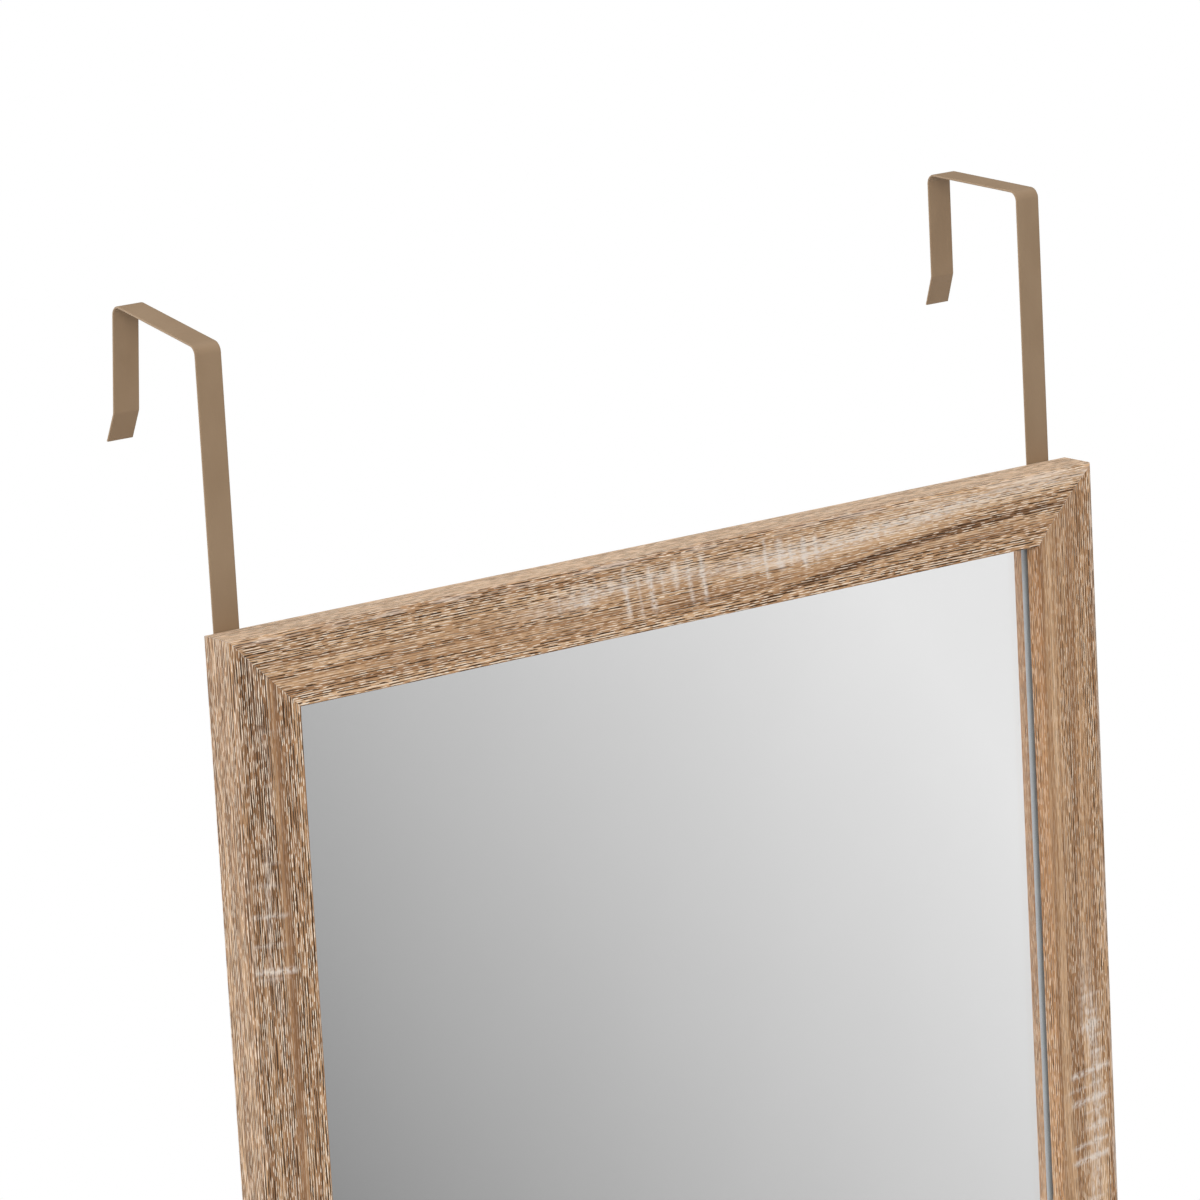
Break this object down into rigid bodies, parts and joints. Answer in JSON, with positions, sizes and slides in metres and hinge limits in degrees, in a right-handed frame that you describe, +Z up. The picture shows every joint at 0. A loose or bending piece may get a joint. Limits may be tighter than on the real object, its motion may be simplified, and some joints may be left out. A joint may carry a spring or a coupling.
{
  "type": "over the door mirror",
  "caption": "Tall recessed mirror in a mitred oak-effect frame that hangs over the top of a door on bent steel strap hangers, set for height in their slots.",
  "frame": {"origin": "the front edge of the door's top, midway between the hangers, at the mean height of the undersides of the hooks", "axes": "+X to the right as one faces the mirror, +Y through the mirror into the door, +Z up"},
  "size_m": [0.35, 0.0705, 1.3486],
  "materials": {
    "oak_foil": "oak-effect foil with a limed, embossed grain over a pale moulded core, matt",
    "clear_glass": "clear float glass, polished",
    "silvering": "silver with a grey back paint",
    "hardboard": "bare brown hardboard",
    "taupe_paint": "satin taupe powder coat on steel strap",
    "zinc_steel": "bright zinc plate",
    "soft_rubber": "matt black rubber"
  },
  "bodies": {
    "frame": {"top_rail": "oak_foil", "bottom_rail": "oak_foil", "left_rail": "oak_foil", "right_rail": "oak_foil", "mirror_glass": "clear_glass", "silver_coat": "silvering", "backing_board": "hardboard", "left_hanger_screws": "zinc_steel", "right_hanger_screws": "zinc_steel", "nails_top_left": "zinc_steel", "nails_top_right": "zinc_steel", "nails_bottom_left": "zinc_steel", "nails_bottom_right": "zinc_steel", "points_top": "zinc_steel", "points_bottom": "zinc_steel", "points_left": "zinc_steel", "points_right": "zinc_steel", "bumper_left": "soft_rubber", "bumper_right": "soft_rubber"},
    "left_hook": {"left_hanger": "taupe_paint"},
    "right_hook": {"right_hanger": "taupe_paint"}
  },
  "joints": [
    {"name": "left_hanger_slide", "type": "slide", "parent": "frame", "child": "left_hook", "axis": [0, 0, 1], "range_m": [-0.0085, 0.0115]},
    {"name": "right_hanger_slide", "type": "slide", "parent": "frame", "child": "right_hook", "axis": [0, 0, 1], "range_m": [-0.0115, 0.0085]}
  ]
}
